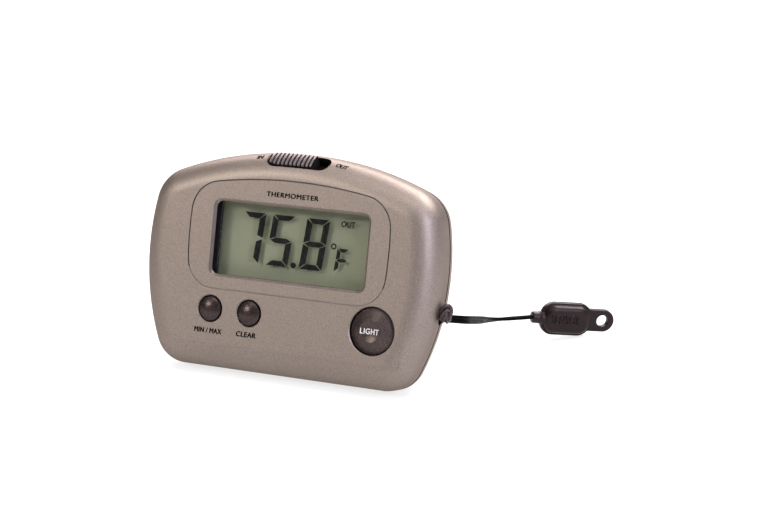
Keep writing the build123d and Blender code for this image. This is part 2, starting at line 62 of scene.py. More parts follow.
# the case as the solids have it, in its own frame
LEAN = math.radians(15.0)
CASE_X = -1.84                  # middle of the case, left of the display's middle
FRONT_ROUND = 9.0               # radius of the soft edge round the face
TOP_ARC_R = 122.0               # the top is an arc across the case
TOP_AXIS_Z = 66.1               # height of the top edge's axis, at the middle of the case
PARTING_Y = 13.0                # where the two shells meet
LENS_MIDDLE = Vector((0, 2.8, 44.5))
WINDOW_X = 28.4                 # half the window's width, at its bevel
WINDOW_LOW, WINDOW_HIGH = 32.0, 57.0
SLOT_X = 12.4                   # how far the top slot reaches to either side
MIN_MAX_AT = (-27.5, 20.0)
CLEAR_AT = (-12.6, 20.0)
LIGHT_AT = (33.1, 19.4)
HOLES = ((MIN_MAX_AT, 4.55), (CLEAR_AT, 4.55), (LIGHT_AT, 8.05))


def case_matrix():
    """From the case's millimetres to the row frame, found from where the display lens is."""
    lean = Matrix.Rotation(-LEAN, 4, "X") @ Matrix.Scale(MM, 4)
    low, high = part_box("display_lens")
    return Matrix.Translation((low + high) / 2 - lean @ LENS_MIDDLE) @ lean


CASE = case_matrix()
CASE_TURN = Matrix.Rotation(-LEAN, 3, "X")


def top_axis_z(x):
    """Height of the axis that the case's soft top edge is round."""
    return TOP_AXIS_Z - (x - CASE_X) ** 2 / (2 * TOP_ARC_R)


def from_top_axis(at):
    """How far a place is from that axis."""
    return math.hypot(at.y - FRONT_ROUND, at.z - top_axis_z(at.x))


# ------------------------------------------------------------------ shaders
MIX_A, MIX_B, MIX_RESULT = 6, 7, 2      # the colour sockets of a Mix node


class Shader:
    """A node material with a Principled surface, and short ways to add to it."""

    def __init__(self, name, colour, roughness, **sockets):
        self.material = bpy.data.materials.new(name)
        self.material.use_nodes = True
        self.tree = self.material.node_tree
        self.surface = self.tree.nodes["Principled BSDF"]
        self.set(base_color=colour, roughness=roughness, **sockets)

    def set(self, **sockets):
        """Sets or links sockets of the surface, named in lower case with underscores."""
        for name, value in sockets.items():
            self.put(self.surface, name.replace("_", " ").title().replace("Ior", "IOR"), value)

    def put(self, node, socket, value):
        target = node.inputs[socket]
        if isinstance(value, bpy.types.NodeSocket):
            self.tree.links.new(value, target)
        elif target.type == "RGBA":
            target.default_value = (*value[:3], 1.0)
        else:
            target.default_value = value

    def node(self, kind, settings=None, **sockets):
        """Adds a node; its sockets are given by name, or as i0, i1 and so on by number."""
        made = self.tree.nodes.new("ShaderNode" + kind)
        for name, value in (settings or {}).items():
            setattr(made, name, value)
        for name, value in sockets.items():
            key = int(name[1:]) if name[0] == "i" and name[1:].isdigit() else name
            self.put(made, key, value)
        return made

    def place(self, stretch=(1, 1, 1)):
        """Position in the object's own metres, stretched along each axis."""
        coords = self.node("TexCoord").outputs["Object"]
        return self.node("Mapping", Vector=coords, Scale=stretch).outputs["Vector"]

    def case_place(self):
        """Position in the case's own frame, in millimetres, as X, Y and Z."""
        back = CASE.inverted()
        coords = self.node("TexCoord").outputs["Object"]
        turned = self.node("Mapping", Vector=coords, Rotation=(LEAN, 0, 0), Scale=(1 / MM,) * 3,
                           Location=back.translation)
        return self.node("SeparateXYZ", Vector=turned.outputs["Vector"]).outputs

    def noise(self, size, detail=2.0, roughness=0.5, place=None):
        """Noise whose features are about size metres across."""
        made = self.node("TexNoise", Vector=place or self.place(), Scale=1 / size, Detail=detail,
                         Roughness=roughness)
        return made.outputs["Fac"]

    def ramp(self, value, stops):
        """Maps a value to colours or greys at the given stops."""
        made = self.node("ValToRGB", Fac=value)
        points = made.color_ramp.elements
        while len(points) < len(stops):
            points.new(0.5)
        for point, (at, colour) in zip(points, stops):
            point.position = at
            grey = isinstance(colour, (int, float))
            point.color = (colour, colour, colour, 1) if grey else (*colour, 1)
        return made.outputs["Color"]

    def maths(self, how, a, b=0.0, c=0.0):
        return self.node("Math", {"operation": how}, i0=a, i1=b, i2=c).outputs[0]

    def mix(self, share, a, b):
        made = self.node("Mix", {"data_type": "RGBA"}, Factor=share)
        self.put(made, MIX_A, a)
        self.put(made, MIX_B, b)
        return made.outputs[MIX_RESULT]

    def bump(self, height, depth, strength=1.0):
        made = self.node("Bump", Height=height, Distance=depth, Strength=strength)
        self.set(normal=made.outputs["Normal"])

    def round_edges(self, radius, height=None, depth=0.0):
        """Catches light on the edges as a small moulded radius would."""
        soft = self.node("Bevel", {"samples": 4}, Radius=radius).outputs["Normal"]
        if height is not None:
            soft = self.node("Bump", Height=height, Distance=depth, Normal=soft).outputs["Normal"]
        self.set(normal=soft)


def shade(colour, factor):
    return tuple(c * factor for c in colour)


def case_paint(name, colour, grain, roughness, edge=(0.30, 0.27, 0.27)):
    """Metallic paint: fine flakes and slight cloudiness, and edge is its tint where seen aslant."""
    s = Shader(name, colour, roughness, metallic=0.85, specular_tint=edge,
               coat_weight=0.06, coat_roughness=0.25)
    flakes = s.noise(0.00045, 3.0, 0.8)
    clouds = s.noise(0.014, 2.0)
    glint = s.ramp(flakes, [(0.32, 0.0), (0.68, 1.0)])
    lit = s.mix(glint, shade(colour, 1 - grain), shade(colour, 1 + grain))
    lit = s.mix(s.ramp(clouds, [(0.35, 0.0), (0.65, 0.12)]), lit, shade(colour, 0.82))
    s.set(base_color=lit, roughness=s.ramp(flakes, [(0.3, roughness - 0.06), (0.7, roughness + 0.06)]))
    s.round_edges(0.00012, flakes, 0.00001)
    return s.material


def plastic(name, colour, roughness=0.45, texture=0.0005, depth=0.00001, spread=0.12, **sockets):
    """Moulded plastic with a fine spark-eroded texture and slight mottling."""
    s = Shader(name, colour, roughness, **sockets)
    fine = s.noise(texture, 3.0, 0.6)
    broad = s.noise(texture * 22, 2.0)
    patches = s.ramp(broad, [(0.35, 0.0), (0.65, 1.0)])
    tone = s.mix(patches, shade(colour, 1 - spread), shade(colour, 1 + spread))
    s.set(base_color=tone, roughness=s.ramp(fine, [(0.3, roughness - 0.06), (0.7, roughness + 0.06)]))
    s.round_edges(0.0001, fine, depth)
    return s.material


def metal(name, colour, roughness=0.3, stretch=(1, 1, 1)):
    """Plated or rolled metal with fine scratches along one way."""
    s = Shader(name, colour, roughness, metallic=1.0)
    lines = s.noise(0.0004, 4.0, 0.7, s.place(stretch))
    tint = s.noise(0.004, 2.0)
    s.set(base_color=s.mix(tint, shade(colour, 0.82), shade(colour, 1.08)),
          roughness=s.ramp(lines, [(0.3, roughness * 0.7), (0.7, roughness * 1.4)]))
    s.round_edges(0.00008, lines, 0.000006)
    return s.material


def board_material():
    """Green solder mask with tracks showing through it."""
    green, track = (0.012, 0.10, 0.035), (0.03, 0.22, 0.07)
    s = Shader("circuit_board_mask", green, 0.3, coat_weight=0.5, coat_roughness=0.15)
    cells = s.node("TexVoronoi", {"distance": "CHEBYCHEV", "feature": "DISTANCE_TO_EDGE"},
                   Vector=s.place(), Scale=420.0)
    lines = s.ramp(cells.outputs["Distance"], [(0.06, 1.0), (0.10, 0.0)])
    s.set(base_color=s.mix(lines, green, track))
    s.round_edges(0.0001, lines, 0.00002)
    return s.material


def battery_material():
    """A dry cell's printed sleeve: dark body, copper-coloured band at the positive end."""
    sleeve, copper, tin = (0.02, 0.022, 0.03), (0.45, 0.20, 0.09), (0.62, 0.62, 0.60)
    s = Shader("cell_sleeve", sleeve, 0.3, metallic=0.6, coat_weight=0.6, coat_roughness=0.1)
    along = s.maths("MULTIPLY_ADD", s.case_place()["X"], 1 / 60, 0.5)
    band = s.ramp(along, [(0.70, 0.0), (0.705, 1.0), (0.897, 1.0), (0.90, 0.0)])
    ends = s.ramp(along, [(0.180, 1.0), (0.184, 0.0), (0.895, 0.0), (0.899, 1.0)])
    s.set(base_color=s.mix(ends, s.mix(band, sleeve, copper), tin))
    s.round_edges(0.00008, s.noise(0.0006), 0.000004)
    return s.material


def rubber(name, colour, roughness, gloss=0.28):
    """Rubber or soft sheathing, a little dusty in patches."""
    s = Shader(name, colour, roughness, specular_ior_level=gloss, specular_tint=(1.0, 0.80, 0.76))
    fine = s.noise(0.00035, 3.0, 0.6)
    broad = s.noise(0.004, 3.0, 0.6)
    dusty = tuple(c + 0.006 for c in colour)
    s.set(base_color=s.mix(s.ramp(broad, [(0.45, 0.0), (0.75, 0.5)]), colour, dusty),
          roughness=s.ramp(broad, [(0.3, roughness - 0.06), (0.7, roughness + 0.08)]))
    s.bump(fine, 0.000008)
    return s.material


def ink(name, colour, roughness=0.5, **sockets):
    """Pad-printed ink, slightly uneven."""
    s = Shader(name, colour, roughness, **sockets)
    fine = s.noise(0.00025, 2.0)
    uneven = s.ramp(fine, [(0.3, 0.0), (0.7, 1.0)])
    s.set(base_color=s.mix(uneven, shade(colour, 0.85), shade(colour, 1.15)))
    s.bump(fine, 0.000004)
    return s.material


def window_material():
    """Clear acrylic: nearly all of the light passes, and the rest is a faint mirror."""
    s = Shader("clear_acrylic", (0.95, 0.97, 1.0), 0.05, alpha=0.008, metallic=1.0)
    smear = s.noise(0.006, 3.0)
    s.set(roughness=s.ramp(smear, [(0.4, 0.03), (0.7, 0.10)]))
    return s.material


def cell_glass_material():
    """The display cell's front film, all but clear."""
    s = Shader("cell_glass_film", (0.75, 0.80, 0.70), 0.35, alpha=0.002, metallic=1.0)
    s.bump(s.noise(0.0003), 0.000003)
    return s.material


def reflector_material():
    """The display's green-grey back film, with a faint pearly grain."""
    colour = (0.165, 0.175, 0.104)
    s = Shader("display_reflector", colour, 0.55)
    grain = s.noise(0.00025, 2.0)
    pearl = s.noise(0.012, 2.0)
    tone = s.mix(s.ramp(grain, [(0.3, 0.0), (0.7, 1.0)]), shade(colour, 0.95), shade(colour, 1.05))
    s.set(base_color=s.mix(s.ramp(pearl, [(0.35, 0.0), (0.65, 0.5)]), tone, shade(colour, 1.06)))
    s.bump(grain, 0.000004)
    return s.material


PAINT = (0.248, 0.203, 0.172)
MATERIALS = {
    "case_paint": case_paint("pewter_paint", PAINT, 0.26, 0.52),
    # painted sheen: the rear shell's paint is a lighter copy of the face's paint
    "rear_plastic": case_paint("pewter_plastic", shade(PAINT, 1.08), 0.07, 0.50, edge=(0.85, 0.80, 0.74)),
    "button_plastic": case_paint("dark_pewter", (0.070, 0.052, 0.047), 0.55, 0.42),
    "black_plastic": plastic("black_plastic", (0.012, 0.012, 0.013), 0.4),
    "white_plastic": plastic("white_plastic", (0.72, 0.71, 0.67), 0.4, spread=0.03),
    "clear_window": window_material(),
    "lcd_glass": reflector_material(),
    "seal_rubber": rubber("zebra_rubber", (0.04, 0.035, 0.045), 0.6),
    "board": board_material(),
    "screw_steel": metal("zinc_plate", (0.60, 0.60, 0.58), 0.32),
    "contact_steel": metal("nickel_plate", (0.68, 0.66, 0.60), 0.22, (1, 8, 8)),
    "battery_can": battery_material(),
    "black_wire": rubber("black_lead", (0.004, 0.003, 0.003), 0.36, 0.01),
    "red_wire": rubber("red_wire", (0.34, 0.015, 0.012), 0.4),
    "sensor_rubber": rubber("sensor_rubber", (0.008, 0.004, 0.004), 0.36, 0.24),
}


def finish_nodes():
    """Gives every CAD node the material of its record slot."""
    for part in frame["record"]["subparts"]:
        node = NODES[part["node"]]
        node.data.materials.clear()
        node.data.materials.append(MATERIALS[part["material_slot"]])


def paint_shading(node, material, test):
    """Paints shading onto a node's faces for which test(centre, normal), in the case's frame, is true."""
    mesh = NODES[node].data
    mesh.materials.append(material)
    to_case = CASE.inverted()
    turn_back = CASE_TURN.inverted()
    for face in mesh.polygons:
        if face.material_index == 0 and test(to_case @ face.center, turn_back @ face.normal):
            face.material_index = len(mesh.materials) - 1


def in_front_recess(at, normal):
    """The walls of the button holes and the window, and the slot's floor and walls: painted shade."""
    sideways = abs(normal.y) < 0.5
    if sideways and any(math.hypot(at.x - x, at.z - z) < r + 0.1 for (x, z), r in HOLES):
        return True
    if sideways and 0.9 < at.y < 3 and abs(at.x) < WINDOW_X + 0.4:
        return True
    return abs(at.x) < SLOT_X and at.z > TOP_AXIS_Z - 0.1 and from_top_axis(at) < FRONT_ROUND - 0.15


def on_window_lip(at, normal):
    """The bevel at the left of the window, which gets darker, duller paint as painted shade."""
    beside = WINDOW_X < -at.x < WINDOW_X + 1.6 and WINDOW_LOW < at.z < WINDOW_HIGH
    return beside and at.y < 0.95 and 0.4 < abs(normal.y) < 0.9


def in_bezel_groove(at, normal):
    """The thin groove round the display field, which gets painted shade where no painted highlight is."""
    by_window = abs(at.x) < WINDOW_X + 1.6 and WINDOW_LOW - 1 < at.z < WINDOW_HIGH + 1
    if by_window or not WINDOW_LOW - 7 <= at.z <= WINDOW_HIGH + 10:
        return False
    on_wall = abs(normal.y) < 0.5
    on_floor = at.y > 0.3 and abs(normal.y) > 0.985
    return at.y < 0.42 and (on_wall or on_floor)


def in_lower_groove(at, normal):
    """The part of that groove under the window, which faces the light and gets a painted highlight."""
    return at.z < WINDOW_LOW + 1.5 and in_bezel_groove(at, normal)


def in_seam(at, normal):
    """The shadow groove between the two shells, which gets painted shade."""
    return at.y < PARTING_Y + 0.72


def in_knob_groove(at, normal):
    """Everything on the knob lower than the tops of its ribs, which gets painted shade."""
    return from_top_axis(at) < FRONT_ROUND + 0.35 or at.y > PARTING_Y - 1


def finish_faces():
    """Paints shade on what lies deep or in grooves, and gives the knob and small buttons their own paint.
    """
    # painted shade: near-black for the walls of holes, window and slot, the shell seam and knob grooves
    recess = plastic("recess_shadow", (0.007, 0.005, 0.0045), 0.8, specular_ior_level=0.08)
    # painted highlight: lighter paint on the lower run of the bezel groove
    groove_highlight = plastic("groove_painted_highlight", (0.260, 0.215, 0.190), 0.6)
    # painted shade: dark paint in the rest of the bezel groove
    dark_groove = plastic("groove_shadow", (0.070, 0.053, 0.048), 0.6)
    # painted shade: darker, duller paint on the window's left bevel dims its highlight
    lip = plastic("window_lip_painted_shade", (0.125, 0.102, 0.092), 0.75, specular_ior_level=0.15)
    knob = case_paint("knob_pewter", (0.195, 0.158, 0.154), 0.12, 0.42)
    dome = case_paint("dark_pewter_dome", (0.052, 0.038, 0.036), 0.6, 0.35, edge=(0.10, 0.08, 0.08))
    for node, paint in (("in_out_knob", knob), ("min_max_button", dome), ("clear_button", dome)):
        NODES[node].data.materials[0] = paint
    for node, material, test in (("front_shell", recess, in_front_recess),
                                 ("front_shell", groove_highlight, in_lower_groove),
                                 ("front_shell", dark_groove, in_bezel_groove),
                                 ("front_shell", lip, on_window_lip),
                                 ("rear_shell", recess, in_seam),
                                 ("in_out_knob", recess, in_knob_groove)):
        paint_shading(node, material, test)


finish_nodes()
finish_faces()


# ------------------------------------------------------------------ helpers
def new_object(name, mesh, material, body, smooth=35.0):
    """A visible piece that rides a body; edges sharper than smooth degrees stay sharp."""
    for face in mesh.polygons:
        face.use_smooth = True
    mesh.set_sharp_from_angle(angle=math.radians(smooth))
    mesh.materials.clear()
    mesh.materials.append(material)
    piece = bpy.data.objects.new(name, mesh)
    bpy.context.scene.collection.objects.link(piece)
    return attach(piece, body)


def mesh_from(bm, name):
    bmesh.ops.recalc_face_normals(bm, faces=bm.faces)
    mesh = bpy.data.meshes.new(name)
    bm.to_mesh(mesh)
    bm.free()
    return mesh


def absorb(bm, other, move=Matrix()):
    """Adds another bmesh to this one, moved, and frees it."""
    scratch = bpy.data.meshes.new("scratch")
    other.to_mesh(scratch)
    other.free()
    scratch.transform(move)
    bm.from_mesh(scratch)
    bpy.data.meshes.remove(scratch)


def doubled(bm, joined):
    """Copies flat lettering in place, joined along its rims or loose; gives the copy's vertices."""
    faces = [list(f.verts) for f in bm.faces]
    rims = [list(e.verts) for e in bm.edges if e.is_boundary]
    twin = {v: bm.verts.new(v.co) for v in list(bm.verts)}
    for verts in faces:
        bm.faces.new([twin[v] for v in verts])
    if joined:
        for a, b in rims:
            bm.faces.new((a, b, twin[b], twin[a]))
    return list(twin.values())


def bridge(bm, rings, closed=False):
    """Joins each ring of vertices to the next with faces, and the last to the first if closed."""
    following = rings[1:] + rings[:1] if closed else rings[1:]
    for a, b in zip(rings, following):
        for i in range(len(a)):
            j = (i + 1) % len(a)
            bm.faces.new((a[i], a[j], b[j], b[i]))


def text_bmesh(words, height, width, bold=0.0, spacing=1.0):
    """Flat lettering round the origin, in millimetres; bold strikes it twice, that far apart."""
    curve = bpy.data.curves.new("lettering", "FONT")
    curve.body = words
    curve.space_character = spacing
    curve.resolution_u = 5
    text = bpy.data.objects.new("lettering", curve)
    mesh = bpy.data.meshes.new_from_object(text)
    bm = bmesh.new()
    bm.from_mesh(mesh)
    bpy.data.objects.remove(text)
    bpy.data.curves.remove(curve)
    bpy.data.meshes.remove(mesh)
    bmesh.ops.remove_doubles(bm, verts=bm.verts, dist=1e-5)
    low = Vector(min(v.co[i] for v in bm.verts) for i in range(3))
    high = Vector(max(v.co[i] for v in bm.verts) for i in range(3))
    middle = (low + high) / 2
    for v in bm.verts:
        v.co.x = (v.co.x - middle.x) * (width - bold) / (high.x - low.x) - bold / 2
        v.co.y = (v.co.y - middle.y) * (height - bold / 2) / (high.y - low.y) - bold / 4
    if bold:
        for v in doubled(bm, joined=False):
            v.co.x += bold
            v.co.y += bold / 2
    return bm


def cut_into_strips(bm, step):
    """Cuts flat faces along a grid, so that they can follow a curved surface."""
    for axis in (Vector((1, 0, 0)), Vector((0, 1, 0))):
        reach = max(abs(v.co.dot(axis)) for v in bm.verts)
        lines = int(reach / step)
        for i in range(-lines, lines + 1):
            everything = [*bm.verts, *bm.edges, *bm.faces]
            bmesh.ops.bisect_plane(bm, geom=everything, plane_co=axis * (i * step), plane_no=axis,
                                   dist=1e-5)


def wrapped_on(bm, node, centre, facing, up, turn=0.0, thick=0.03):
    """Lays flat lettering just off a CAD node's surface and gives it a little thickness."""
    lift, clear, reach = 0.015, 4, 12
    tree = BVHTree.FromObject(NODES[node], bpy.context.evaluated_depsgraph_get())
    right = up.cross(facing)
    spin = Matrix.Rotation(math.radians(turn), 3, facing)
    outward = CASE_TURN @ facing
    for v in bm.verts:
        flat = spin @ (right * v.co.x + up * v.co.y)
        start = CASE @ (centre + flat + facing * clear)
        hit = tree.ray_cast(start, -outward, reach * MM)[0]
        v.co = hit + outward * (lift * MM)
    for v in doubled(bm, joined=True):
        v.co += outward * (thick * MM)


def print_on(name, words, node, body, material, centre, facing, up, height, width, step=None, turn=0.0,
             bold=0.0, spacing=1.0, thick=0.03):
    """Words on a CAD node; step is the grid that they are cut to where the surface curves."""
    bm = text_bmesh(words, height, width, bold, spacing)
    if step:
        cut_into_strips(bm, step)
    wrapped_on(bm, node, Vector(centre), facing, up, turn, thick=thick)
    return new_object(name, mesh_from(bm, name), material, body, smooth=30)


# ------------------------------------------------------------------ display
INK_DEPTH, INK_THICK = 4.70, 0.03
FILM_DEPTH, FILM_THICK = 4.56, 0.1
REFLECTOR_DEPTH, REFLECTOR_THICK = 6.35, 0.25
CELL_X = 30.9                               # half the cell's width
CELL_LOW, CELL_HIGH = 30.6, 59.8
SLANT = 0.10                                # sideways lean of the digits, per unit of height
DIGITS = (("7", -21.75), ("5", -10.6), ("8", 2.2))
DIGIT_LOW, DIGIT_SIZE = 36.75, (8.5, 17.25)
DIGIT_STROKES = (2.2, 1.78)                 # of upright and of level segments
POINT_AT, POINT_R = (0.17, 37.6), 0.98
UNIT_AT, UNIT_SIZE, UNIT_STROKES = (15.2, 37.1), (4.3, 7.9), (1.35, 1.2)
DEGREE_AT, DEGREE_R = (14.5, 45.5), (0.56, 1.04)
FLAG_AT, FLAG_SIZE = (19.1, 53.25), (2.05, 5.3)


def segment_shapes(w, h, tw, th):
    """The seven mitred segments of one digit, a to g, with its corner at the origin."""

    def flip(points):
        return [(w - x, z) for x, z in points]

    def drop(points):
        return [(x, h - z) for x, z in points]

    mid = h / 2
    end, gap = 0.16 * tw, 0.10 * tw
    upper_left = [(0, h - gap), (tw, h - th - gap), (tw, mid + th / 2 + gap), (0, mid + gap)]
    top = [(end, h), (w - end, h), (w - tw - gap, h - th), (tw + gap, h - th)]
    middle = [(end, mid), (tw, mid + th / 2), (w - tw, mid + th / 2), (w - end, mid),
              (w - tw, mid - th / 2), (tw, mid - th / 2)]
    return {"a": top, "b": flip(upper_left), "c": flip(drop(upper_left)), "d": drop(top),
            "e": drop(upper_left), "f": upper_left, "g": middle}


LIT = {"7": "abc", "5": "afgcd", "8": "abcdefg", "F": "afge"}


def thin_plate(bm, outline, y, thick):
    """A flat outline in the case's X and Z, made a thin solid facing forward."""
    front = [bm.verts.new(CASE @ Vector((x, y, z))) for x, z in outline]
    back = [bm.verts.new(CASE @ Vector((x, y + thick, z))) for x, z in outline]
    bm.faces.new(front)
    bm.faces.new(back[::-1])
    bridge(bm, [front, back])


def add_character(bm, character, at, size, strokes):
    """One digit or letter in segments, with the left end of its foot at the given place."""
    shapes = segment_shapes(*size, *strokes)
    for name in LIT[character]:
        leaning = [(at[0] + x + SLANT * z, at[1] + z) for x, z in shapes[name]]
        thin_plate(bm, leaning, INK_DEPTH, INK_THICK)


def circle(centre, r, count=28):
    angles = [2 * math.pi * i / count for i in range(count)]
    return [(centre[0] + r * math.cos(a), centre[1] + r * math.sin(a)) for a in angles]


def ring_plate(bm, centre, inner, outer, y, thick):
    """A flat ring as a closed solid."""
    section = ((inner, y), (outer, y), (outer, y + thick), (inner, y + thick))
    rings = [[bm.verts.new(CASE @ Vector((x, depth, z))) for x, z in circle(centre, r)]
             for r, depth in section]
    bridge(bm, rings, closed=True)


def add_flag(bm):
    """The small word in the display's corner."""
    letters = text_bmesh("OUT", *FLAG_SIZE, bold=0.34, spacing=1.08)
    for v in letters.verts:
        v.co = Vector((FLAG_AT[0] + v.co.x, INK_DEPTH, FLAG_AT[1] + v.co.y))
    for v in doubled(letters, joined=True):
        v.co.y += INK_THICK
    absorb(bm, letters, CASE)


def make_display():
    """The segments, and the cell: a thin front film, and the reflector behind."""
    dark = ink("display_segment", (0.006, 0.006, 0.005), 0.9, specular_ior_level=0.08)
    bm = bmesh.new()
    for character, x in DIGITS:
        add_character(bm, character, (x, DIGIT_LOW), DIGIT_SIZE, DIGIT_STROKES)
    thin_plate(bm, circle(POINT_AT, POINT_R), INK_DEPTH, INK_THICK)
    new_object("display_digits", mesh_from(bm, "display_digits"), dark, "case")

    bm = bmesh.new()
    add_character(bm, "F", UNIT_AT, UNIT_SIZE, UNIT_STROKES)
    ring_plate(bm, DEGREE_AT, *DEGREE_R, INK_DEPTH, INK_THICK)
    add_flag(bm)
    new_object("display_marks", mesh_from(bm, "display_marks"), dark, "case")

    film = [(-CELL_X, CELL_LOW), (CELL_X, CELL_LOW), (CELL_X, CELL_HIGH), (-CELL_X, CELL_HIGH)]
    bm = bmesh.new()
    thin_plate(bm, film, FILM_DEPTH, FILM_THICK)
    new_object("cell_front_film", mesh_from(bm, "cell_front_film"), cell_glass_material(), "case")
    bm = bmesh.new()
    thin_plate(bm, film, REFLECTOR_DEPTH, REFLECTOR_THICK)
    reflector = new_object("cell_reflector", mesh_from(bm, "cell_reflector"), MATERIALS["lcd_glass"],
                           "case")
    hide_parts("lcd_cell")


make_display()


# ----------------------------------------------------------------- printing
def make_printing():
    """The words on the face, the two on the soft top edge, and the one on the round button."""
    black = ink("black_ink", (0.005, 0.004, 0.004), 0.9, specular_ior_level=0.08)
    white = ink("white_ink", (0.62, 0.60, 0.58))
    shell = dict(node="front_shell", body="case", material=black, facing=FRONT, up=UP)
    print_on("print_heading", "THERMOMETER", centre=(-0.1, 0, 60.8), height=1.72, width=19.5, bold=0.22,
             spacing=1.12, **shell)
    print_on("print_min_max", "MIN / MAX", centre=(MIN_MAX_AT[0], 0, 12.55), height=1.85, width=10.6,
             bold=0.2, spacing=1.06, **shell)
    print_on("print_clear", "CLEAR", centre=(CLEAR_AT[0] - 0.25, 0, 12.75), height=1.85, width=7.6,
             bold=0.22, spacing=1.06, **shell)
    for name, words, x, forward, width in (("print_in", "IN", -15.4, 34.0, 2.3),
                                           ("print_out", "OUT", 15.3, 35.5, 4.4)):
        a = math.radians(forward)
        facing = Vector((0, -math.sin(a), math.cos(a)))
        up = Vector((0, math.cos(a), math.sin(a)))
        centre = Vector((x, FRONT_ROUND, top_axis_z(x))) + facing * FRONT_ROUND
        print_on(name, words, "front_shell", "case", black, centre, facing, up, height=2.1, width=width,
                 step=0.5, turn=-math.degrees((x - CASE_X) / TOP_ARC_R), bold=0.24)
    print_on("print_light", "LIGHT", "light_button", "light", white, (32.8, 0, 19.35), FRONT, UP,
             height=1.9, width=6.65, step=0.6, bold=0.10, spacing=1.10, thick=0.02)


make_printing()


def make_back_marks():
    """Moulded lettering on the back, raised a little in the same plastic."""
    plain, relief = MATERIALS["rear_plastic"], 0.22
    back_y, door_z = 27, 46.4
    shell = dict(node="rear_shell", body="case", material=plain, facing=BACK, up=UP, thick=relief)
    door = dict(node="battery_door", body="door", material=plain, facing=BACK, up=UP, thick=relief)
    print_on("mark_units", "C       F", centre=(-32.0, back_y, 33.3), height=2.3, width=9.2,
             bold=0.2, **shell)
    print_on("mark_unit_degrees", "°       °", centre=(-30.5, back_y, 34.0), height=0.9, width=7.9, **shell)
    print_on("mark_door_open", "OPEN", centre=(17.5, back_y, door_z), height=2.4, width=8.4,
             bold=0.2, **door)
    print_on("mark_door_cell", "1.5V  AAA", centre=(-11.0, back_y, door_z), height=2.4, width=16.5,
             bold=0.2, **door)
    arrow = bmesh.new()
    arrow.faces.new([arrow.verts.new(p) for p in ((1.6, 1.5, 0), (-1.4, 0, 0), (1.6, -1.5, 0))])
    wrapped_on(arrow, "battery_door", Vector((24.8, back_y, door_z)), BACK, UP, thick=relief)
    new_object("mark_door_arrow", mesh_from(arrow, "mark_door_arrow"), plain, "door", smooth=30)


make_back_marks()


def make_painted_glints():
    """Painted glints: a few light specks on the display frame's edge, behind the lens."""
    edge_x, count = -27.97, 22
    random.seed(7)
    bm = bmesh.new()
    for _ in range(count):
        place = CASE @ Vector((edge_x, random.uniform(3.5, 4.5), random.uniform(32.5, 56.3)))
        spot = Matrix.Translation(place) @ Matrix.Diagonal((0.3, 1, random.uniform(0.8, 2.2), 1))
        bmesh.ops.create_icosphere(bm, subdivisions=1, radius=random.uniform(0.05, 0.10) * MM, matrix=spot)
    speck = ink("painted_glint", (0.55, 0.56, 0.55))
    new_object("display_painted_glints", mesh_from(bm, "display_painted_glints"), speck, "case", smooth=60)


make_painted_glints()


# ------------------------------------------------------------ sensor and lead
# from inside the case's notch to the sensor's boss, in metres in the row frame
LEAD_ROUTE = (
    (0.0410, -0.0042, 0.0255),
    (0.0608, -0.0044, 0.0262),
    (0.0570, 0.0205, 0.0181),
    (0.0514, 0.0486, 0.0089),
    (0.0625, 0.0577, 0.00862),
)
LEAD_W, LEAD_T = 0.0028, 0.0013


def lead_line():
    """Points along the lead's NURBS spline."""
    curve = bpy.data.curves.new("lead_route", "CURVE")
    curve.dimensions = "3D"
    curve.resolution_u = 24
    spline = curve.splines.new("NURBS")
    spline.points.add(len(LEAD_ROUTE) - 1)
    for point, place in zip(spline.points, LEAD_ROUTE):
        point.co = (*place, 1.0)
    spline.order_u = 3
    spline.use_endpoint_u = True
    route = bpy.data.objects.new("lead_route", curve)
    mesh = bpy.data.meshes.new_from_object(route)
    points = [v.co.copy() for v in mesh.vertices]
    bpy.data.objects.remove(route)
    bpy.data.curves.remove(curve)
    bpy.data.meshes.remove(mesh)
    return points


def directions(points, closed=False):
    """The unit direction of a line at each of its points."""
    count = len(points)
    out = []
    for i in range(count):
        if closed:
            step = points[(i + 1) % count] - points[i - 1]
        else:
            step = points[min(i + 1, count - 1)] - points[max(i - 1, 0)]
        out.append(step.normalized())
    return out


def twin_section(width, thick, count=10):
    """A figure-of-eight section: two round wires side by side with a web between."""
    r = thick / 2
    offset = width / 2 - r
    web = math.radians(28)
    angles = [-math.pi + web + (2 * math.pi - 2 * web) * i / count for i in range(count + 1)]
    lobe = [(offset + r * math.cos(a), r * math.sin(a)) for a in angles]
    return lobe + [(-x, -y) for x, y in lobe]


def sweep(name, points, wide_axes, section, closed=False):
    """Carries a section along points; wide_axes gives its wide way at each."""
    bm = bmesh.new()
    rings = []
    for point, along, wide in zip(points, directions(points, closed), wide_axes):
        wide = (wide - along * wide.dot(along)).normalized()
        thin = along.cross(wide)
        rings.append([bm.verts.new(point + wide * x + thin * y) for x, y in section])
    bridge(bm, rings, closed)
    if not closed:
        bm.faces.new(rings[0])
        bm.faces.new(rings[-1][::-1])
    return mesh_from(bm, name)


def make_lead():
    """A flat twin lead: broad side out at the case, turned edge-on by the sensor."""
    twist_from, twist_over = 0.42, 0.5      # shares of the length
    flat_turn, edge_turn = 4, 80            # degrees
    points = lead_line()
    steps = [0.0]
    for a, b in zip(points, points[1:]):
        steps.append(steps[-1] + (b - a).length)
    axes = []
    for far, along in zip(steps, directions(points)):
        t = min(1.0, max(0.0, (far / steps[-1] - twist_from) / twist_over))
        turn = math.radians(flat_turn + (edge_turn - flat_turn) * t * t * (3 - 2 * t))
        axes.append(Matrix.Rotation(turn, 3, along) @ UP)
    mesh = sweep("sensor_twin_lead", points, axes, twin_section(LEAD_W, LEAD_T))
    lead = new_object("sensor_twin_lead", mesh, MATERIALS["black_wire"], "case", smooth=60)
    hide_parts("sensor_lead")
    return lead, points


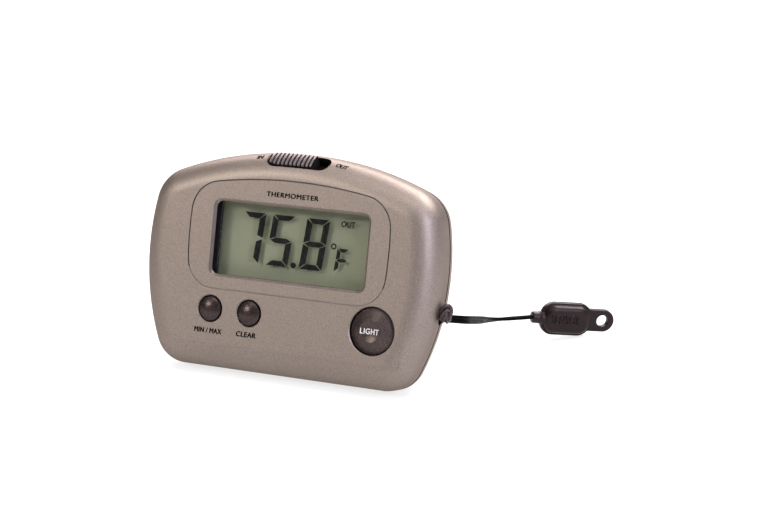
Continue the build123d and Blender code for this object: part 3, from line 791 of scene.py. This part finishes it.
def make_knot():
    """An overhand knot pulled tight against the case: a trefoil wound on a ring across the lead."""
    centre = Vector((0.0562, -0.0052, 0.0279))
    ring_r, wind_r = 1.80 * MM, 0.88 * MM
    ring_wide, ring_high = 0.85, 1.12
    count = 180
    along = Vector((0.97, -0.22, -0.10)).normalized()
    side = along.cross(UP).normalized()
    top = side.cross(along)
    line, axes = [], []
    for i in range(count):
        t = 2 * math.pi * i / count
        around, wind = 2 * t, 3 * t + 0.6
        out = side * math.cos(around) * ring_wide + top * math.sin(around) * ring_high
        normal = out.normalized() * math.cos(wind) + along * math.sin(wind)
        line.append(centre + out * ring_r + normal * wind_r)
        axes.append(normal)
    tangents = directions(line, closed=True)
    wides = [t.cross(n) for t, n in zip(tangents, axes)]
    mesh = sweep("lead_overhand_knot", line, wides, twin_section(2.1 * MM, 1.12 * MM, 8), closed=True)
    # painted sheen: the knot is the lead itself, coloured lighter than the rest for its glossy highlights
    knot_sheen = rubber("lead_knot_painted_sheen", (0.040, 0.029, 0.028), 0.28, 0.22)
    knot = new_object("lead_overhand_knot", mesh, knot_sheen, "case", smooth=60)
    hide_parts("lead_knot")
    return knot


# the sensor, in millimetres from where its boss starts, X along it and its broad side to -Y
SENSOR_AXIS, SENSOR_DIP = 40.0, 8.4         # degrees round from the case's right, and down
CAP_L, CAP_H, CAP_CORNER = 19.4, 12.0, 4.9
BOSS_L, BOSS_R = 3.3, 2.1
TAB_L, TAB_H, HOLE_R, HOLE_BACK = 8.8, 8.1, 2.1, 4.5
CAP_MID = BOSS_L + CAP_L / 2
TAB_END = BOSS_L + CAP_L + TAB_L


def sensor_matrix():
    """From the sensor's own frame to the row frame."""
    round_z = Matrix.Rotation(math.radians(SENSOR_AXIS), 4, "Z")
    down = Matrix.Rotation(math.radians(SENSOR_DIP), 4, "Y")
    start = Matrix.Translation(Vector(LEAD_ROUTE[-1]))
    return start @ round_z @ down @ Matrix.Translation((0.12 * MM, 0, 0)) @ Matrix.Scale(MM, 4)


def rounded_rectangle(length, height, radius, inset, per_corner=12):
    """An outline in X and Z round the capsule's middle, drawn in by inset."""
    hl, hh = length / 2 - inset, height / 2 - inset
    r = min(max(radius - inset * 0.75, 0.4), hl, hh)
    points = []
    for quarter, (sx, sz) in enumerate(((1, 1), (-1, 1), (-1, -1), (1, -1))):
        for i in range(per_corner + 1):
            a = math.pi / 2 * (quarter + i / per_corner)
            points.append((CAP_MID + sx * (hl - r) + r * math.cos(a), sz * (hh - r) + r * math.sin(a)))
    return points


def stacked(bm, loops, close_ends=True):
    """A skin through a row of loops of points."""
    rings = [[bm.verts.new(p) for p in loop] for loop in loops]
    bridge(bm, rings)
    if close_ends:
        bm.faces.new(rings[0])
        bm.faces.new(rings[-1][::-1])


# inset from the flange's edge and depth forward of the mid-plane: pillow, narrow valley, flange lip
CAPSULE_PROFILE = ((4.4, 3.34), (3.2, 3.31), (2.3, 3.18), (1.7, 2.92), (1.28, 2.50), (1.02, 2.00),
                   (0.90, 1.45), (0.78, 1.14), (0.55, 1.08), (0.32, 1.16), (0.14, 1.08), (0.0, 0.80))


def capsule_loops():
    """The capsule's outline, front to back, drawn in as its profile says."""
    front = [(inset, -y) for inset, y in CAPSULE_PROFILE]
    back = [(inset, y) for inset, y in reversed(CAPSULE_PROFILE)]
    for inset, y in front + back:
        yield [Vector((x, y, z)) for x, z in rounded_rectangle(CAP_L, CAP_H, CAP_CORNER, inset)]


def tab_loops(count=72):
    """The tab, as a ring of section between its hole and its outline."""
    half = TAB_H / 2
    round_x = TAB_END - half
    left = BOSS_L + CAP_L - 2.5

    def outline(a, inset):
        c, s = math.cos(a), math.sin(a)
        r = half - inset
        if c >= 0:
            return round_x + r * c, r * s
        reach = min(r / max(abs(s), 1e-6), (round_x - left) / abs(c))
        return round_x + reach * c, reach * s

    def hole(a, grow):
        r = HOLE_R + grow
        return TAB_END - HOLE_BACK + r * math.cos(a), r * math.sin(a)

    angles = [2 * math.pi * i / count for i in range(count)]
    front = [(hole, 0.0, -0.80), (hole, 0.10, -1.0), (hole, 0.3, -1.1),
             (outline, 0.35, -1.1), (outline, 0.1, -1.0), (outline, 0.0, -0.75)]
    back = [(edge, offset, -y) for edge, offset, y in reversed(front)]
    for edge, offset, y in front + back + front[:1]:
        yield [Vector((x, y, z)) for x, z in (edge(a, offset) for a in angles)]


def boss_loops(count=36):
    """The boss that the lead goes into, widening into the capsule."""
    angles = [2 * math.pi * i / count for i in range(count)]
    for x, r in ((0.0, 1.45), (0.08, 1.75), (0.28, 2.0), (0.55, BOSS_R), (2.6, BOSS_R + 0.08),
                 (3.4, BOSS_R + 0.35), (5.0, BOSS_R + 0.5)):
        yield [Vector((x, r * math.cos(a), r * math.sin(a))) for a in angles]


def add_sensor_word(bm):
    """The raised word on the pillow, its foot sunk in the rubber."""
    foot, rise = -2.7, 1.06
    letters = text_bmesh("SENSOR", 3.4, 11.2, bold=0.15, spacing=1.08)
    for v in doubled(letters, joined=True):
        v.co.z = 1.0
    for v in letters.verts:
        v.co = Vector((CAP_MID - 0.9 + v.co.x, foot - rise * v.co.z, 0.4 + v.co.y))
    absorb(bm, letters)


def make_sensor():
    """The moulded rubber sensor: capsule, boss, holed tab and word melted into one skin."""
    bm = bmesh.new()
    stacked(bm, list(capsule_loops()))
    stacked(bm, list(tab_loops()), close_ends=False)
    bmesh.ops.remove_doubles(bm, verts=bm.verts, dist=1e-5)
    stacked(bm, list(boss_loops()))
    add_sensor_word(bm)
    mesh = mesh_from(bm, "sensor_capsule")
    mesh.transform(sensor_matrix())
    piece = bpy.data.objects.new("scratch", mesh)
    bpy.context.scene.collection.objects.link(piece)
    remesh = piece.modifiers.new("skin", "REMESH")
    remesh.mode = "VOXEL"
    remesh.voxel_size = 0.11 * MM
    soften = piece.modifiers.new("soften", "SMOOTH")
    soften.factor = 0.5
    soften.iterations = 3
    melted = piece.evaluated_get(bpy.context.evaluated_depsgraph_get())
    skin = bpy.data.meshes.new_from_object(melted)
    bpy.data.objects.remove(piece)
    bpy.data.meshes.remove(mesh)
    sensor = new_object("sensor_capsule", skin, MATERIALS["sensor_rubber"], "case",
                        smooth=80)
    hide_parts("sensor_body")
    return sensor


lead, lead_points = make_lead()
knot = make_knot()
sensor = make_sensor()
lead_length = sum((b - a).length for a, b in zip(lead_points, lead_points[1:]))
[tuple(p) for p in lead_points]


# -------------------------------------------------------- stage, light, camera
def make_floor():
    """A pale floor, just under what stands on it."""
    s = Shader("pale_floor", (0.32, 0.32, 0.32), 0.9, specular_ior_level=0.1, emission_color=(1, 1, 1),
               emission_strength=0.74)
    s.bump(s.noise(0.01), 0.00001)
    bm = bmesh.new()
    bmesh.ops.create_grid(bm, x_segments=8, y_segments=8, size=4.0)
    floor = bpy.data.objects.new("floor", mesh_from(bm, "floor"))
    floor.location.z = -0.0002
    floor.data.materials.append(s.material)
    bpy.context.scene.collection.objects.link(floor)


def area_light(name, azimuth, elevation, distance, width, height, power, colour):
    """A soft box aimed at the middle of the face; azimuth goes round from there to the right."""
    target = CASE @ Vector((0, 5, 38))
    a, e = math.radians(azimuth), math.radians(elevation)
    back = Vector((math.sin(a) * math.cos(e), -math.cos(a) * math.cos(e), math.sin(e)))
    data = bpy.data.lights.new(name, "AREA")
    data.shape = "RECTANGLE"
    data.size, data.size_y = width, height
    data.energy, data.color = power, colour
    lamp = bpy.data.objects.new(name, data)
    lamp.location = target + back * distance
    lamp.rotation_mode = "QUATERNION"
    lamp.rotation_quaternion = (-back).to_track_quat("-Z", "Y")
    bpy.context.scene.collection.objects.link(lamp)


def make_lights():
    """A dim room, a key light from the left, and soft boxes above, beside and behind."""
    world = bpy.data.worlds.new("studio")
    world.use_nodes = True
    background = world.node_tree.nodes["Background"]
    background.inputs["Color"].default_value = (0.96, 0.95, 1.0, 1)
    background.inputs["Strength"].default_value = 0.20
    bpy.context.scene.world = world
    # degrees round and up; distance, width and height in metres; watts; colour
    area_light("key", -36, 32, 1.6, 0.36, 0.36, 12.5, (1.0, 0.97, 0.94))
    area_light("side", 66, 26, 0.9, 0.2, 0.5, 6.2, (0.74, 0.77, 1.0))
    area_light("overhead", 10, 76, 1.3, 1.1, 0.7, 8.5, (1.0, 0.98, 0.99))
    area_light("behind_left", -155, 38, 1.4, 1.2, 0.6, 23.0, (0.97, 0.96, 1.0))
    area_light("behind_right", 150, 50, 1.4, 1.0, 0.6, 26.0, (0.97, 0.96, 1.0))


def make_camera():
    """Right of the display and above it, at the height and turn of a table-top shot."""
    place = (0.29974, -0.5804, 0.23108)
    right = Vector((0.9087, 0.4172, -0.0148))
    up = Vector((-0.1065, 0.2659, 0.9581))
    data = bpy.data.cameras.new("camera")
    data.sensor_width = 36.0
    data.lens = 94.7
    data.clip_start, data.clip_end = 0.01, 20.0
    camera = bpy.data.objects.new("camera", data)
    turn = Matrix((right, up, right.cross(up))).transposed()
    camera.matrix_world = Matrix.Translation(place) @ turn.to_4x4()
    bpy.context.scene.collection.objects.link(camera)
    bpy.context.scene.camera = camera


make_floor()
make_lights()
make_camera()
bpy.context.scene.view_settings.view_transform = "Standard"
